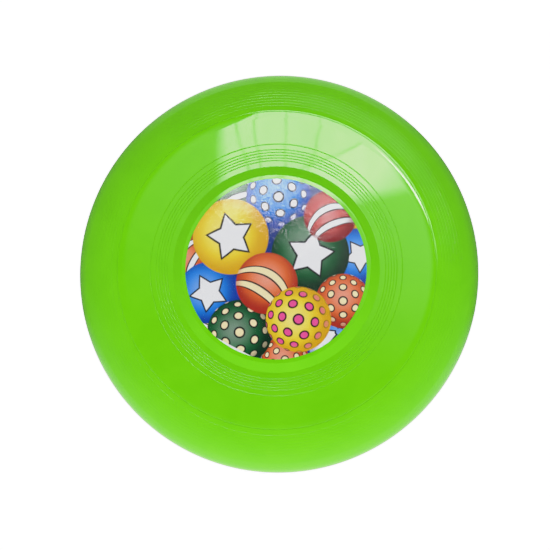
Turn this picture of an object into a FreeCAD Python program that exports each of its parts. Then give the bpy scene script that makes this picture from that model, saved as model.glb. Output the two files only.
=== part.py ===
import FreeCAD, Part
import math
import os

import Sketcher

# Flying disc: one injection-moulded shell, and a round self-adhesive label on its raised centre.
# Millimetres. +Z is up as the disc lies on its rim, and the origin is the centre of the rim's foot plane.
# Every driving dimension is a cell of the sheet "sizes", and the features read those cells by expression.

DRIVING_SIZES = [
    # overall
    ("disc_radius", 110.0, "outermost radius of the rim"),
    ("disc_height", 27.4, "rim's foot plane to the flat top of the boss"),
    # label
    ("label_radius", 49.3, "die-cut radius of the label"),
    ("adhesive_thickness", 0.03, "pressure-sensitive adhesive"),
    ("print_thickness", 0.10, "white film that carries the print"),
    ("gloss_thickness", 0.05, "clear gloss film laminated over the print"),
    # shell, outside
    ("boss_border", 2.2, "flat land left round the label"),
    ("boss_flank", 4.9, "radial width of the boss's sloping side"),
    ("boss_rise", 2.4, "top of the boss above the flight plate"),
    ("shoulder_width", 23.0, "radial width from the crease out to the rim"),
    ("crease_slope", 12.0, "slope in degrees of the shoulder where it leaves the crease"),
    ("roll_width", 4.0, "width of the plate's edge that rolls down to the crease"),
    ("roll_radius", 34.0, "radius of that rolled edge"),
    ("shoulder_bow", 1.74, "radius of the shoulder's upper arc, in shoulder widths"),
    ("rim_line_height", 4.9, "height of the rim's widest line above its foot"),
    ("rim_draft", 4.0, "draft in degrees of the rim's outside below its widest line"),
    # shell, inside
    ("plate_wall", 1.8, "wall of the boss, plate and shoulder"),
    ("rim_wall", 3.9, "wall of the rim at its widest line"),
    ("inner_arc", 10.0, "inside radius where the shoulder turns into the rim"),
    ("inner_draft", 1.0, "draft in degrees of the rim's inner wall"),
    # rounded edges
    ("boss_round", 1.0, "round on the boss's top edge"),
    ("fine_round", 0.4, "round at the boss's foot and under the boss"),
    ("foot_round", 0.9, "round on both edges of the rim's foot"),
    # fine grooves, each part of a circle in section
    ("groove_radius", 0.25, "section radius of a groove"),
    ("plate_groove_gap", 3.2, "boss's foot to the first groove on the plate"),
    ("plate_groove_pitch", 1.52, "spacing of the grooves on the plate"),
    ("shoulder_groove_depth", 0.06, "how far the shoulder's grooves go in"),
    ("shoulder_groove_gap", 4.8, "degrees of arc from the crease to the shoulder's first groove"),
    ("shoulder_groove_pitch", 2.48, "degrees of arc between the shoulder's grooves"),
    # moulding marks on the underside
    ("gate_recess_radius", 4.0, "recess round the gate"),
    ("gate_recess_depth", 0.3, "depth of that recess"),
    ("gate_stub_radius", 1.2, "stub left where the gate was sheared"),
    ("gate_stub_height", 0.25, "height of that stub"),
    ("poppet_radius", 14.0, "witness ring of the air poppet"),
    ("pin_mark_radius", 3.5, "mark of an ejector pin"),
    ("pin_mark_depth", 0.15, "depth of that mark"),
]

PLATE_GROOVES = [0, 1, 2, 3, 4, 6]  # in pitches from the first; the last one stands apart
SHOULDER_GROOVES = 8
PIN_MARKS = 6

# Places that several features share, as expressions on the sheet.
PLATE_TOP = "(sizes.disc_height - sizes.boss_rise)"
BOSS_RADIUS = "(sizes.label_radius + sizes.boss_border)"
BOSS_FOOT = f"({BOSS_RADIUS} + sizes.boss_flank)"
BOSS_CEILING = "(sizes.disc_height - sizes.plate_wall)"
PLATE_CEILING = f"({PLATE_TOP} - sizes.plate_wall)"
FLANK_SLOPE = "atan(sizes.boss_rise / sizes.boss_flank)"
CREASE = "(sizes.disc_radius - sizes.shoulder_width)"
ROLL_START = f"({CREASE} - sizes.roll_width)"
CREASE_Z = f"({PLATE_TOP} - sizes.roll_radius + sqrt(sizes.roll_radius ^ 2 - sizes.roll_width ^ 2))"
SHOULDER_ARC = "(sizes.shoulder_bow * sizes.shoulder_width)"
SHOULDER_X = f"({CREASE} - {SHOULDER_ARC} * sin(sizes.crease_slope * 1deg))"
SHOULDER_Z = f"({CREASE_Z} - {SHOULDER_ARC} * cos(sizes.crease_slope * 1deg))"
# The one arc that is tangent both to the shoulder and to the rim's widest line, at its height.
RIM_REACH = f"(sizes.disc_radius - {SHOULDER_X})"
RIM_DROP = f"(sizes.rim_line_height - {SHOULDER_Z})"
RIM_ARC = (
    f"(({SHOULDER_ARC} ^ 2 - {RIM_REACH} ^ 2 - {RIM_DROP} ^ 2)"
    f" / (2 * ({SHOULDER_ARC} - {RIM_REACH})))"
)

doc = FreeCAD.newDocument("flying_disc")
sheet = doc.addObject("Spreadsheet::Sheet", "sizes")
for row, (alias, value, meaning) in enumerate(DRIVING_SIZES, start=1):
    sheet.set(f"A{row}", alias)
    sheet.set(f"B{row}", str(value))
    sheet.set(f"C{row}", meaning)
    sheet.setAlias(f"B{row}", alias)
doc.recompute()


def value_of(expression):
    """The plain number that an expression on the sheet comes to."""
    result = sheet.evalExpression(expression.replace("sizes.", ""))
    return float(getattr(result, "Value", result))


def point(x, y):
    return FreeCAD.Vector(value_of(x), value_of(y), 0)


def make_sketch(body, name, plane, height=None):
    """A sketch on one of the body's own origin planes. On XZ_Plane its x is a radius and its y a height."""
    sketch = body.newObject("Sketcher::SketchObject", name)
    origin_plane = [f for f in body.Origin.OriginFeatures if f.Role == plane][0]
    sketch.AttachmentSupport = [(origin_plane, "")]
    sketch.MapMode = "FlatFace"
    if height:
        sketch.setExpression("AttachmentOffset.Base.z", height)
    return sketch


def bind(sketch, kind, *where, to):
    """A dimension of the sketch that reads the sheet."""
    index = sketch.addConstraint(Sketcher.Constraint(kind, *where, value_of(to)))
    sketch.setExpression(f"Constraints[{index}]", to)


def join(sketch, first, first_end, second, second_end, smooth=False):
    kind = "Tangent" if smooth else "Coincident"
    sketch.addConstraint(Sketcher.Constraint(kind, first, first_end, second, second_end))


def add_line(sketch, start, end):
    return sketch.addGeometry(Part.LineSegment(start, end))


def add_arc(sketch, centre, start, end):
    """An arc that runs anticlockwise from start to end."""
    circle = Part.Circle(centre, FreeCAD.Vector(0, 0, 1), (start - centre).Length)
    angles = [math.atan2(p.y - centre.y, p.x - centre.x) for p in (start, end)]
    return sketch.addGeometry(Part.ArcOfCircle(circle, *angles))


def add_circle(sketch, x, y, radius):
    """A circle with its centre at two expressions; one that comes to nothing puts it on the axis."""
    centre = point(x, y)
    circle = Part.Circle(centre, FreeCAD.Vector(0, 0, 1), value_of(radius))
    geometry = sketch.addGeometry(circle)
    bind(sketch, "Radius", geometry, to=radius)
    for kind, distance, expression, axis in (
        ("DistanceX", centre.x, x, -2),
        ("DistanceY", centre.y, y, -1),
    ):
        if distance:
            bind(sketch, kind, -1, 1, geometry, 3, to=expression)
        else:
            sketch.addConstraint(Sketcher.Constraint("PointOnObject", geometry, 3, axis))


def add_half_section(sketch, inset, turn_radius, turn_x, lean):
    """Half of the disc's section from its axis to its rim: closed by the axis and by the foot plane.

    inset is the depth below the outer surface, so nothing for the outside and the wall for the hollow.
    The turn is the arc from the shoulder into the rim, and lean is the angle at which it hands over
    to the rim's straight wall.
    """
    top = f"(sizes.disc_height - {inset})"
    plate_z = f"({PLATE_TOP} - {inset})"
    flank_shift = f"({inset} * tan({FLANK_SLOPE} / 2))"  # keeps the wall even under the slope
    shoulder_radius = f"({SHOULDER_ARC} - {inset})"
    roll_radius = f"(sizes.roll_radius - {inset})"
    centre_gap = f"({shoulder_radius} - {turn_radius})"
    turn_slope = f"asin(({turn_x} - {SHOULDER_X}) / {centre_gap})"
    turn_z = f"({SHOULDER_Z} + {centre_gap} * cos({turn_slope}))"
    wall_x = f"({turn_x} + {turn_radius} * cos({lean}))"
    wall_z = f"({turn_z} + {turn_radius} * sin({lean}))"
    foot_x = f"({wall_x} + {wall_z} * tan({lean}))"

    origin = FreeCAD.Vector(0, 0, 0)
    top_centre = point("0", top)
    boss_edge = point(f"{BOSS_RADIUS} - {flank_shift}", top)
    boss_foot = point(f"{BOSS_FOOT} - {flank_shift}", plate_z)
    roll_start = point(ROLL_START, plate_z)
    roll_centre = point(ROLL_START, f"{PLATE_TOP} - sizes.roll_radius")
    crease = point(CREASE, f"{CREASE_Z} - {inset}")
    shoulder_centre = point(SHOULDER_X, SHOULDER_Z)
    turn_start = point(
        f"{SHOULDER_X} + {shoulder_radius} * sin({turn_slope})",
        f"{SHOULDER_Z} + {shoulder_radius} * cos({turn_slope})",
    )
    turn_centre = point(turn_x, turn_z)
    wall_top = point(wall_x, wall_z)
    foot_point = point(foot_x, "0")

    axis = add_line(sketch, origin, top_centre)
    boss_top = add_line(sketch, top_centre, boss_edge)
    flank = add_line(sketch, boss_edge, boss_foot)
    plate = add_line(sketch, boss_foot, roll_start)
    roll = add_arc(sketch, roll_centre, crease, roll_start)
    shoulder = add_arc(sketch, shoulder_centre, turn_start, crease)
    turn = add_arc(sketch, turn_centre, wall_top, turn_start)
    wall = add_line(sketch, wall_top, foot_point)
    foot = add_line(sketch, foot_point, origin)

    join(sketch, axis, 1, -1, 1)
    join(sketch, axis, 2, boss_top, 1)
    join(sketch, boss_top, 2, flank, 1)
    join(sketch, flank, 2, plate, 1)
    join(sketch, plate, 2, roll, 2, smooth=True)
    join(sketch, roll, 1, shoulder, 2)
    join(sketch, shoulder, 1, turn, 2, smooth=True)
    join(sketch, turn, 1, wall, 1, smooth=True)
    join(sketch, wall, 2, foot, 1)
    join(sketch, foot, 2, axis, 1)
    sketch.addConstraint(Sketcher.Constraint("Vertical", axis))
    for level in (boss_top, plate, foot):
        sketch.addConstraint(Sketcher.Constraint("Horizontal", level))
    bind(sketch, "DistanceX", -1, 1, boss_top, 2, to=f"({BOSS_RADIUS} - {flank_shift})")
    bind(sketch, "DistanceY", -1, 1, boss_top, 2, to=top)
    bind(sketch, "DistanceX", -1, 1, flank, 2, to=f"({BOSS_FOOT} - {flank_shift})")
    bind(sketch, "DistanceY", -1, 1, flank, 2, to=plate_z)
    bind(sketch, "DistanceX", -1, 1, plate, 2, to=ROLL_START)
    bind(sketch, "Radius", roll, to=roll_radius)
    bind(sketch, "Radius", shoulder, to=shoulder_radius)
    bind(sketch, "DistanceX", -1, 1, shoulder, 3, to=SHOULDER_X)
    bind(sketch, "DistanceY", shoulder, 3, plate, 2, to=f"({plate_z} - {SHOULDER_Z})")
    bind(sketch, "Radius", turn, to=turn_radius)
    bind(sketch, "DistanceX", -1, 1, turn, 3, to=turn_x)
    bind(sketch, "DistanceX", -1, 1, wall, 2, to=foot_x)


def revolve(body, kind, sketch, name):
    """A full turn of the sketch about the disc's axis, as a Revolution or a Groove."""
    feature = body.newObject(kind, name)
    feature.Profile = sketch
    feature.ReferenceAxis = (sketch, ["V_Axis"])
    feature.Angle = 360.0
    doc.recompute()
    return feature


def extrude(body, kind, sketch, name, length, upward=True):
    """A Pad or a Pocket. A Pad follows the sketch's normal, which is up, and a Pocket runs against it."""
    feature = body.newObject(kind, name)
    feature.Profile = sketch
    feature.setExpression("Length", length)
    feature.Reversed = upward == (kind == "PartDesign::Pocket")
    doc.recompute()
    return feature


def round_edges(body, name, radius, places):
    """A fillet on the circular edges at the given radii and heights."""
    base = body.Tip
    wanted = [point(x, z) for x, z in places]
    edge_names = []
    for number, edge in enumerate(base.Shape.Edges, start=1):
        if not isinstance(edge.Curve, Part.Circle):
            continue
        place = FreeCAD.Vector(edge.Curve.Radius, edge.Curve.Center.z, 0)
        level = abs(edge.Curve.Axis.z) > 0.99
        if level and any((place - p).Length < 1e-3 for p in wanted):
            edge_names.append(f"Edge{number}")
    if len(edge_names) != len(wanted):
        raise RuntimeError(f"{name} found {len(edge_names)} edges, not {len(wanted)}")
    fillet = body.newObject("PartDesign::Fillet", name)
    fillet.Base = (base, edge_names)
    fillet.setExpression("Radius", radius)
    doc.recompute()
    return fillet


def require_cut(cut, base):
    """A cut that points away from the solid removes nothing and shows no error, so the volumes are compared."""
    if cut.Shape.Volume > base.Shape.Volume - 0.01:
        raise RuntimeError(f"{cut.Name} removed nothing")


def cut_grooves(body, name, section_radius, centres):
    """Ring grooves, each part of a circle in section about a centre on the surface or just off it."""
    base = body.Tip
    sketch = make_sketch(body, f"{name}_sections", "XZ_Plane")
    for x, z in centres:
        add_circle(sketch, x, z, section_radius)
    require_cut(revolve(body, "PartDesign::Groove", sketch, name), base)


def make_shell():
    """The moulded disc: the outer form, hollowed from below, then its rounds, grooves and moulding marks."""
    body = doc.addObject("PartDesign::Body", "disc_shell")
    outer_sketch = make_sketch(body, "outer_section", "XZ_Plane")
    rim_turn_x = f"(sizes.disc_radius - {RIM_ARC})"
    add_half_section(outer_sketch, "0", RIM_ARC, rim_turn_x, "(-sizes.rim_draft * 1deg)")
    outer_form = revolve(body, "PartDesign::Revolution", outer_sketch, "outer_form")

    hollow_sketch = make_sketch(body, "hollow_section", "XZ_Plane")
    inner_turn_x = "(sizes.disc_radius - sizes.rim_wall - sizes.inner_arc)"
    add_half_section(
        hollow_sketch, "sizes.plate_wall", "sizes.inner_arc", inner_turn_x, "(sizes.inner_draft * 1deg)"
    )
    hollow = revolve(body, "PartDesign::Groove", hollow_sketch, "hollow")
    require_cut(hollow, outer_form)

    # The foot is the flat ring at the bottom, and its two edges are the only ones at height nothing.
    foot_radii = [edge.Curve.Radius for edge in hollow.Shape.Edges if edge.BoundBox.ZMax < 1e-6]
    round_edges(body, "foot_rounds", "sizes.foot_round", [(str(radius), "0") for radius in foot_radii])
    round_edges(body, "boss_edge_round", "sizes.boss_round", [(BOSS_RADIUS, "sizes.disc_height")])
    under_shift = f"(sizes.plate_wall * tan({FLANK_SLOPE} / 2))"
    round_edges(
        body,
        "fine_rounds",
        "sizes.fine_round",
        [
            (BOSS_FOOT, PLATE_TOP),
            (f"{BOSS_RADIUS} - {under_shift}", BOSS_CEILING),
            (f"{BOSS_FOOT} - {under_shift}", PLATE_CEILING),
        ],
    )

    plate_centres = []
    for pitches in PLATE_GROOVES:
        x = f"({BOSS_FOOT} + sizes.plate_groove_gap + {pitches} * sizes.plate_groove_pitch)"
        into_roll = f"max(0; {x} - {ROLL_START})"
        z = f"({PLATE_TOP} - sizes.roll_radius + sqrt(sizes.roll_radius ^ 2 - {into_roll} ^ 2))"
        plate_centres.append((x, z))
    cut_grooves(body, "plate_grooves", "sizes.groove_radius", plate_centres)

    shoulder_centres = [(CREASE, CREASE_Z)]
    for number in range(SHOULDER_GROOVES):
        angle = (
            "((sizes.crease_slope + sizes.shoulder_groove_gap"
            f" + {number} * sizes.shoulder_groove_pitch) * 1deg)"
        )
        out = f"({SHOULDER_ARC} + sizes.groove_radius - sizes.shoulder_groove_depth)"
        x = f"({SHOULDER_X} + {out} * sin({angle}))"
        z = f"({SHOULDER_Z} + {out} * cos({angle}))"
        shoulder_centres.append((x, z))
    cut_grooves(body, "shoulder_grooves", "sizes.groove_radius", shoulder_centres)

    cut_grooves(body, "poppet_ring", "(0.6 * sizes.groove_radius)", [("sizes.poppet_radius", BOSS_CEILING)])

    recess_sketch = make_sketch(body, "gate_recess_circle", "XY_Plane", height=BOSS_CEILING)
    add_circle(recess_sketch, "0", "0", "sizes.gate_recess_radius")
    base = body.Tip
    gate_recess = extrude(
        body, "PartDesign::Pocket", recess_sketch, "gate_recess", "sizes.gate_recess_depth"
    )
    require_cut(gate_recess, base)
    recess_floor = f"({BOSS_CEILING} + sizes.gate_recess_depth)"
    stub_sketch = make_sketch(body, "gate_stub_circle", "XY_Plane", height=recess_floor)
    add_circle(stub_sketch, "0", "0", "sizes.gate_stub_radius")
    extrude(body, "PartDesign::Pad", stub_sketch, "gate_stub", "sizes.gate_stub_height", upward=False)

    pin_sketch = make_sketch(body, "pin_mark_circle", "XY_Plane", height=PLATE_CEILING)
    add_circle(pin_sketch, f"(({BOSS_FOOT} + {ROLL_START}) / 2)", "0", "sizes.pin_mark_radius")
    base = body.Tip
    pin_mark = extrude(body, "PartDesign::Pocket", pin_sketch, "pin_mark", "sizes.pin_mark_depth")
    require_cut(pin_mark, base)
    pin_marks = body.newObject("PartDesign::PolarPattern", "pin_marks")
    pin_marks.Originals = [pin_mark]
    pin_marks.Axis = (pin_sketch, ["N_Axis"])
    pin_marks.Angle = 360.0
    pin_marks.Occurrences = PIN_MARKS
    body.Tip = pin_marks
    doc.recompute()
    require_cut(pin_marks, pin_mark)
    return body


def make_label_layer(name, height, thickness):
    """One layer of the label: a die-cut circle that lies on the layer or the boss below it."""
    body = doc.addObject("PartDesign::Body", name)
    sketch = make_sketch(body, f"{name}_cut", "XY_Plane")
    add_circle(sketch, "0", "0", "sizes.label_radius")
    extrude(body, "PartDesign::Pad", sketch, f"{name}_thickness", thickness)
    body.setExpression("Placement.Base.z", height)
    doc.recompute()
    return body


adhesive_z = "sizes.disc_height"
print_z = f"({adhesive_z} + sizes.adhesive_thickness)"
gloss_z = f"({print_z} + sizes.print_thickness)"
bodies = [
    make_shell(),
    make_label_layer("label_adhesive", adhesive_z, "sizes.adhesive_thickness"),
    make_label_layer("label_print_film", print_z, "sizes.print_thickness"),
    make_label_layer("label_gloss_film", gloss_z, "sizes.gloss_thickness"),
]

doc.recompute()
for obj in doc.Objects:
    if "Invalid" in obj.State or "Error" in obj.State:
        raise RuntimeError(f"{obj.Name} did not rebuild: {obj.State}")
    if hasattr(obj, "Shape") and obj.isDerivedFrom("PartDesign::Feature"):
        if obj.Shape.isNull() or not obj.Shape.isValid():
            raise RuntimeError(f"{obj.Name} has no valid shape")

os.makedirs("parts", exist_ok=True)
for body in bodies:
    if len(body.Shape.Solids) != 1 or not body.Shape.isValid():
        raise RuntimeError(f"{body.Label} is not one valid solid")
    body.Shape.exportStep(f"parts/{body.Label}.step")
    bounds = body.Shape.optimalBoundingBox()
    print(
        f"{body.Label}: volume {body.Shape.Volume:.1f} mm3,"
        f" radius {bounds.XMax:.2f}, z {bounds.ZMin:.2f} to {bounds.ZMax:.2f}"
    )
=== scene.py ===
import math

import bpy
from mathutils import Matrix, Vector


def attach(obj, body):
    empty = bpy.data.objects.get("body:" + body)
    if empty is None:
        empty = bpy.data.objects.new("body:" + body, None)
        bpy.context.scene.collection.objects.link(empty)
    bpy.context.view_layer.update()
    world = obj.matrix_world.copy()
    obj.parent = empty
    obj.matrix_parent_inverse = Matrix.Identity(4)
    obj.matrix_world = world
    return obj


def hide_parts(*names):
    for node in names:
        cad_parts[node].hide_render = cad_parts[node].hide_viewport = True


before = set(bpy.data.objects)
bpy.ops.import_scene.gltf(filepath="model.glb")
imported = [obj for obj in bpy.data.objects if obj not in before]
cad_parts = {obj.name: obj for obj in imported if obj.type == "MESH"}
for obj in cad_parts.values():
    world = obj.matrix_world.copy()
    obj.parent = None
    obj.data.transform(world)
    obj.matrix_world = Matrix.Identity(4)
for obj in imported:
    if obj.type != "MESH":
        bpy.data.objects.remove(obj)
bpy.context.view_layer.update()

# ---------------------------------------------
# Disc shell. The whole flying disc is one shell of lime-green polyethylene, injection-moulded
# through a gate at the middle of its underside: a raised boss for the label, a flat flight plate
# with fine turned grooves, a rolled edge down to a crease, and a domed shoulder over a thick rim.

DISC_RADIUS = 0.1100
DISC_HEIGHT = 0.0274
BOSS_RADIUS = 0.0515
BOSS_FOOT = 0.0564
PLATE_TOP = 0.0250
ROLL_START = 0.0830
ROLL_RADIUS = 0.0340
CREASE = 0.0870
CREASE_SLOPE = math.radians(12.0)
SHOULDER_ARC = 0.04002
RIM_LINE = 0.0049
RIM_DRAFT = math.radians(4.0)
WALL = 0.0018
RIM_WALL = 0.0039
INNER_ARC = 0.0100
INNER_DRAFT = math.radians(1.0)
BOSS_ROUND = 0.0010
FINE_ROUND = 0.0004
FOOT_ROUND = 0.0009
GROOVE_RADIUS = 0.00025
GROOVE_LIP = 0.00010
PLATE_GROOVE_DEPTH = 0.00014
CREASE_GROOVE_DEPTH = 0.00014
SHOULDER_GROOVE_DEPTH = 0.00006
POPPET_GROOVE = 0.00015
CREST_RADIUS = 0.0030
CREST_END = math.radians(13.2)
PLATE_GROOVES = [0.0596 + 0.00152 * pitches for pitches in (0, 1, 2, 3, 4, 6)]
SHOULDER_GROOVES = [math.radians(16.8 + 2.48 * number) for number in range(8)]
POPPET_RADIUS = 0.0140
RECESS_RADIUS = 0.0040
RECESS_DEPTH = 0.0003
STUB_RADIUS = 0.0012
STUB_HEIGHT = 0.00025
CREST_LIP = 0.00015
CREST_LIP_START = math.radians(130.5)
TURN_STEPS = 300

# How far apart the points of the half section lie, on each kind of stretch.
BOSS_STEP = 0.0500
CEILING_STEP = 0.0250
FLAT_STEP = 0.0100
UNDER_STEP = 0.0080
RIM_STEP = 0.0050
SHOULDER_STEP = 0.0020
BOW_STEP = 0.0010
FOOT_STEP = 0.0002
ROUND_STEP = 0.0001
TIGHT_STEP = 0.00005
SUPPORT = 0.00006
UNDER_SHOULDER_STEPS = 12
UNDER_ROLL_STEPS = 6
LIP_STEPS = 2
BOTTOM_STEPS = 4

section = []


def add_point(radius, height):
    """The next point of the shell's half section, unless it is where the last one is."""
    if not section or math.dist(section[-1], (radius, height)) > 2e-6:
        section.append((radius, height))


def run_line(start, end):
    """A straight stretch: its length, and the point and outward normal at a distance along it."""
    length = math.dist(start, end)
    along = ((end[0] - start[0]) / length, (end[1] - start[1]) / length)

    def place(s):
        return (start[0] + along[0] * s, start[1] + along[1] * s), (-along[1], along[0])

    return length, place


def run_arc(centre, radius, first, last):
    """A stretch of a circle from one angle to another; it bulges outwards where the angle falls."""
    outward = 1.0 if last < first else -1.0

    def place(s):
        angle = first + (last - first) * s / length
        ray = (math.cos(angle), math.sin(angle))
        spot = (centre[0] + radius * ray[0], centre[1] + radius * ray[1])
        return spot, (outward * ray[0], outward * ray[1])

    length = radius * abs(last - first)
    return length, place


def at(centre, radius, turn):
    """The point of a circle at a turn from upright."""
    return centre[0] + radius * math.sin(turn), centre[1] + radius * math.cos(turn)


def add_stretch(run, spacing, begin=0.0, finish=None):
    """Points along a run, with one close to each end that keeps the shading of a flat stretch flat."""
    length, place = run
    finish = length if finish is None else finish
    steps = max(1, math.ceil((finish - begin) / spacing))
    stations = [begin + (finish - begin) * number / steps for number in range(steps + 1)]
    if (finish - begin) / steps > 3.0 * SUPPORT:
        stations = sorted(stations + [begin + SUPPORT, finish - SUPPORT])
    for station in stations:
        add_point(*place(station)[0])


def add_steps(run, steps):
    """Evenly spaced points along a run, its two ends among them."""
    length, place = run
    for number in range(steps + 1):
        add_point(*place(length * number / steps)[0])


def groove_lips(radius, depth):
    """Half the width of a groove over its lips, and the angle at which its bottom meets them."""
    lift = radius - depth
    lip_angle = math.asin((lift + GROOVE_LIP) / (radius + GROOVE_LIP))
    return (radius + GROOVE_LIP) * math.cos(lip_angle), lip_angle


def add_groove(run, station, radius, depth):
    """A groove with a rounded bottom and softly broken lips."""
    (x, z), (nx, nz) = run[1](station)
    reach, lip_angle = groove_lips(radius, depth)
    turns = [
        (-reach, -GROOVE_LIP, GROOVE_LIP, math.pi / 2, lip_angle, LIP_STEPS),
        (0.0, radius - depth, radius, math.pi + lip_angle, math.tau - lip_angle, BOTTOM_STEPS),
        (reach, -GROOVE_LIP, GROOVE_LIP, math.pi - lip_angle, math.pi / 2, LIP_STEPS),
    ]
    for across, up, arc, first, last, steps in turns:
        for number in range(steps + 1):
            angle = first + (last - first) * number / steps
            a = across + arc * math.cos(angle)
            u = up + arc * math.sin(angle)
            add_point(x + a * nz + u * nx, z - a * nx + u * nz)


def add_grooved(run, spacing, stations, radius, depth):
    """A stretch with grooves at the given distances along it."""
    reach = groove_lips(radius, depth)[0]
    begin = 0.0
    for station in stations:
        add_stretch(run, spacing, begin, station - reach)
        add_groove(run, station, radius, depth)
        begin = station + reach
    add_stretch(run, spacing, begin)


quarter = math.pi / 2
flank_slope = math.atan2(DISC_HEIGHT - PLATE_TOP, BOSS_FOOT - BOSS_RADIUS)
boss_cut = BOSS_ROUND * math.tan(flank_slope / 2)
fine_cut = FINE_ROUND * math.tan(flank_slope / 2)
flank_down = (math.cos(flank_slope), -math.sin(flank_slope))
roll_centre = (ROLL_START, PLATE_TOP - ROLL_RADIUS)
crease_turn = math.asin((CREASE - ROLL_START) / ROLL_RADIUS)
crease_z = roll_centre[1] + ROLL_RADIUS * math.cos(crease_turn)
shoulder_centre = at((CREASE, crease_z), -SHOULDER_ARC, CREASE_SLOPE)
rim_reach = DISC_RADIUS - shoulder_centre[0]
rim_drop = RIM_LINE - shoulder_centre[1]
rim_arc = (SHOULDER_ARC**2 - rim_reach**2 - rim_drop**2) / (2.0 * (SHOULDER_ARC - rim_reach))
rim_centre = (DISC_RADIUS - rim_arc, RIM_LINE)
rim_turn = math.asin((rim_centre[0] - shoulder_centre[0]) / (SHOULDER_ARC - rim_arc))

# Over the boss, down its flank and across the flight plate.
add_stretch(run_line((0.0, DISC_HEIGHT), (BOSS_RADIUS - boss_cut, DISC_HEIGHT)), BOSS_STEP)
boss_centre = (BOSS_RADIUS - boss_cut, DISC_HEIGHT - BOSS_ROUND)
add_stretch(run_arc(boss_centre, BOSS_ROUND, quarter, quarter - flank_slope), ROUND_STEP)
flank_end = (BOSS_FOOT - fine_cut * flank_down[0], PLATE_TOP - fine_cut * flank_down[1])
add_stretch(run_line(section[-1], flank_end), FLAT_STEP)
foot_centre = (BOSS_FOOT + fine_cut, PLATE_TOP + FINE_ROUND)
foot_round = run_arc(foot_centre, FINE_ROUND, 3 * quarter - flank_slope, 3 * quarter)
add_stretch(foot_round, TIGHT_STEP)
plate_start = section[-1][0]
plate = run_line((plate_start, PLATE_TOP), (ROLL_START, PLATE_TOP))
plate_stations = [place - plate_start for place in PLATE_GROOVES]
add_grooved(plate, FLAT_STEP, plate_stations, GROOVE_RADIUS, PLATE_GROOVE_DEPTH)
roll = run_arc(roll_centre, ROLL_RADIUS, quarter, quarter - crease_turn)
crease_reach = groove_lips(GROOVE_RADIUS, CREASE_GROOVE_DEPTH)[0]
add_stretch(roll, BOW_STEP, 0.0, roll[0] - crease_reach)

# The crease is a groove whose outer lip stands up in a small rounded crest.
groove_start = len(section)
add_groove(roll, roll[0], GROOVE_RADIUS, CREASE_GROOVE_DEPTH)
del section[groove_start + LIP_STEPS + BOTTOM_STEPS:]
crest_centre = at(shoulder_centre, SHOULDER_ARC - CREST_RADIUS, CREST_END)
lip_centre = (crest_centre[0], crest_centre[1] + CREST_RADIUS - CREST_LIP)
add_stretch(run_arc(lip_centre, CREST_LIP, CREST_LIP_START, quarter), ROUND_STEP)
add_stretch(run_arc(crest_centre, CREST_RADIUS, quarter, quarter - CREST_END), ROUND_STEP)

# Down the shoulder, round the rim's widest line, and under its foot.
shoulder = run_arc(shoulder_centre, SHOULDER_ARC, quarter - CREST_END, quarter - rim_turn)
shoulder_stations = [SHOULDER_ARC * (angle - CREST_END) for angle in SHOULDER_GROOVES]
add_grooved(shoulder, SHOULDER_STEP, shoulder_stations, GROOVE_RADIUS, SHOULDER_GROOVE_DEPTH)
add_stretch(run_arc(rim_centre, rim_arc, quarter - rim_turn, -RIM_DRAFT), BOW_STEP)
foot_x = section[-1][0] - section[-1][1] * math.tan(RIM_DRAFT)
outer_foot = (foot_x - FOOT_ROUND / math.tan(quarter / 2 + RIM_DRAFT / 2), FOOT_ROUND)
add_stretch(run_arc(outer_foot, FOOT_ROUND, -RIM_DRAFT, -quarter), FOOT_STEP)
inner_turn_x = DISC_RADIUS - RIM_WALL - INNER_ARC
inner_gap = SHOULDER_ARC - WALL - INNER_ARC
inner_slope = math.asin((inner_turn_x - shoulder_centre[0]) / inner_gap)
inner_turn = (inner_turn_x, shoulder_centre[1] + inner_gap * math.cos(inner_slope))
wall_top = at(inner_turn, INNER_ARC, quarter - INNER_DRAFT)
wall_foot = wall_top[0] + wall_top[1] * math.tan(INNER_DRAFT)
inner_foot = (wall_foot + FOOT_ROUND / math.tan(quarter / 2 + INNER_DRAFT / 2), FOOT_ROUND)
add_stretch(run_line(section[-1], (inner_foot[0], 0.0)), RIM_STEP)
add_stretch(run_arc(inner_foot, FOOT_ROUND, -quarter, -2 * quarter + INNER_DRAFT), FOOT_STEP)
outside_points = len(section)

# Back up inside the rim and in under the plate to the gate.
add_stretch(run_line(section[-1], wall_top), RIM_STEP)
rise = run_arc(inner_turn, INNER_ARC, INNER_DRAFT, quarter - inner_slope)
add_steps(rise, UNDER_SHOULDER_STEPS)
under_shoulder = SHOULDER_ARC - WALL
under_roll = ROLL_RADIUS - WALL
gap_x = shoulder_centre[0] - roll_centre[0]
gap_z = shoulder_centre[1] - roll_centre[1]
gap = math.hypot(gap_x, gap_z)
reach_along = (under_roll**2 - under_shoulder**2 + gap**2) / (2.0 * gap)
half_chord = math.sqrt(under_roll**2 - reach_along**2)
inner_crease = (
    roll_centre[0] + (gap_x * reach_along + gap_z * half_chord) / gap,
    roll_centre[1] + (gap_z * reach_along - gap_x * half_chord) / gap,
)
inner_crease_turn = math.asin((inner_crease[0] - shoulder_centre[0]) / under_shoulder)
inner_roll_turn = math.asin((inner_crease[0] - roll_centre[0]) / under_roll)
shoulder_ceiling = run_arc(
    shoulder_centre, under_shoulder, quarter - inner_slope, quarter - inner_crease_turn
)
add_steps(shoulder_ceiling, UNDER_SHOULDER_STEPS)
roll_ceiling = run_arc(roll_centre, under_roll, quarter - inner_roll_turn, quarter)
add_steps(roll_ceiling, UNDER_ROLL_STEPS)
plate_ceiling = PLATE_TOP - WALL
boss_ceiling = DISC_HEIGHT - WALL
under_shift = WALL * math.tan(flank_slope / 2)
under_foot = (BOSS_FOOT - under_shift + fine_cut, plate_ceiling + FINE_ROUND)
under_edge = (BOSS_RADIUS - under_shift - fine_cut, boss_ceiling - FINE_ROUND)
add_stretch(run_line(section[-1], (under_foot[0], plate_ceiling)), UNDER_STEP)
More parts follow.
